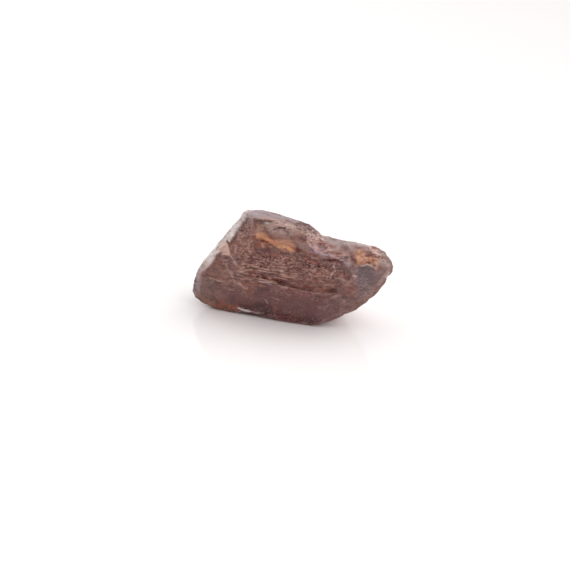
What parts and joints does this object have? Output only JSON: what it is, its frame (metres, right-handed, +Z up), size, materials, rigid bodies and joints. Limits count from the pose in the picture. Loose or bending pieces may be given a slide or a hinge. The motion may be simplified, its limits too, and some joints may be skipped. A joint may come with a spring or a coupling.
{
  "type": "enstatite crystal",
  "caption": "Rough brown translucent enstatite crystal, a stubby prism with a slanting broken end, a low wing and a flat foot to rest on.",
  "frame": {"origin": "middle of the underside of the bounding box, on the plane that the crystal rests on", "axes": "+X along the crystal's length towards its pointed end, +Y to the back, +Z up"},
  "size_m": [0.0254, 0.0108, 0.0135],
  "materials": {
    "enstatite": "translucent brown mineral, glassy on flat breaks and silky along the striations"
  },
  "bodies": {
    "root": {"enstatite_crystal": "enstatite"}
  },
  "joints": []
}
